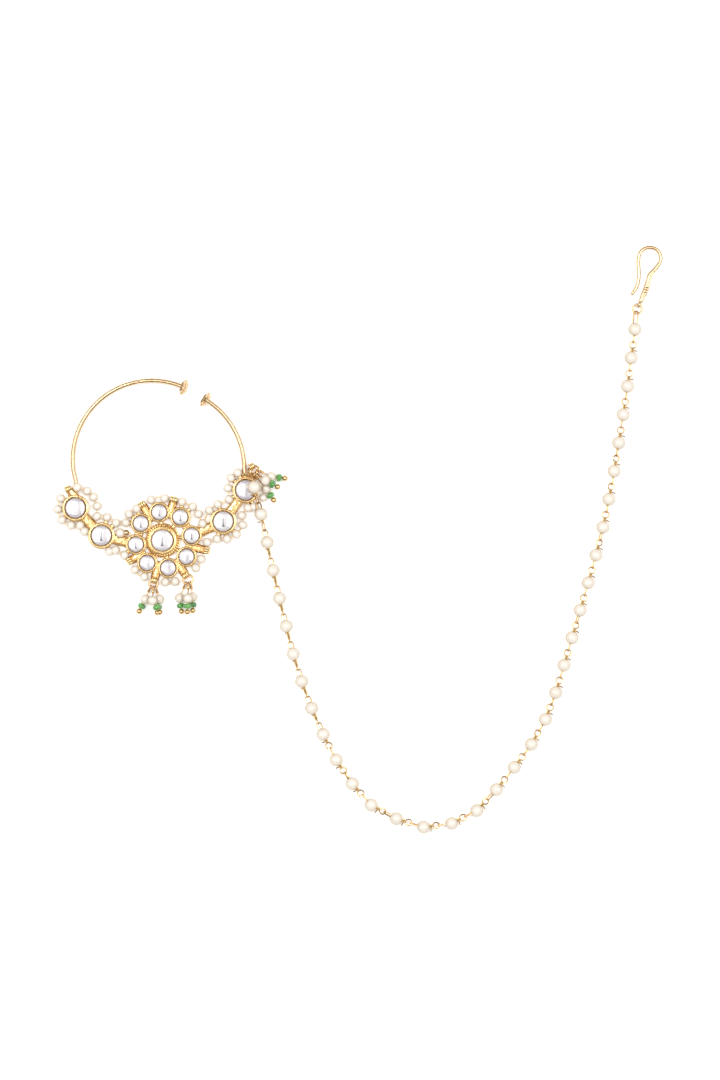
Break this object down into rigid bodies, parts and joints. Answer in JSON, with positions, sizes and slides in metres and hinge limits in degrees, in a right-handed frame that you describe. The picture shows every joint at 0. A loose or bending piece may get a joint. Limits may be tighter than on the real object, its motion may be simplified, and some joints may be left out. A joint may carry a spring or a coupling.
{
  "type": "nath nose ring",
  "caption": "Open hoop nose ring with a row of stone settings, seed-pearl borders and bead drops, and a pearl chain that ends in a hair hook.",
  "frame": {"origin": "centre of the middle setting, on the flat back that the ring lies on", "axes": "+X from the medallion towards the chain's hook end, +Y towards the top of the hoop, +Z out of the stones' tables"},
  "size_m": [0.1899, 0.1833, 0.0067],
  "materials": {
    "gold": "polished warm gold plate",
    "foiled_stone": "clear faceted glass over silver foil",
    "pearl": "satin ivory pearl",
    "seed_pearl": "satin white seed pearl",
    "green_glass": "polished ribbed green glass"
  },
  "bodies": {
    "root": {"gold_frame": "gold", "stone_centre": "foiled_stone", "stone_petal_1": "foiled_stone", "stone_petal_2": "foiled_stone", "stone_petal_3": "foiled_stone", "stone_petal_4": "foiled_stone", "stone_petal_5": "foiled_stone", "stone_petal_6": "foiled_stone", "stone_petal_7": "foiled_stone", "stone_petal_8": "foiled_stone", "stone_left_inner": "foiled_stone", "stone_left_outer": "foiled_stone", "stone_right_inner": "foiled_stone", "stone_right_outer": "foiled_stone", "seed_string_upper_left": "seed_pearl", "seed_string_top": "seed_pearl", "seed_string_upper_right": "seed_pearl", "seed_string_lower_left": "seed_pearl", "seed_string_middle_left": "seed_pearl", "seed_string_bottom_left": "seed_pearl", "seed_string_bottom": "seed_pearl", "seed_string_bottom_right": "seed_pearl", "seed_string_lower_right": "seed_pearl", "jump_ring_left": "gold", "jump_ring_right": "gold", "jump_ring_side": "gold", "jump_ring_hook": "gold", "drop_left_front": "pearl", "drop_left_top": "pearl", "drop_left_back": "pearl", "drop_right_front": "pearl", "drop_right_top": "pearl", "drop_right_back": "pearl", "drop_side_front": "pearl", "drop_side_top": "pearl", "drop_side_back": "pearl", "hair_hook": "gold", "pearl_chain": "pearl"}
  },
  "joints": []
}
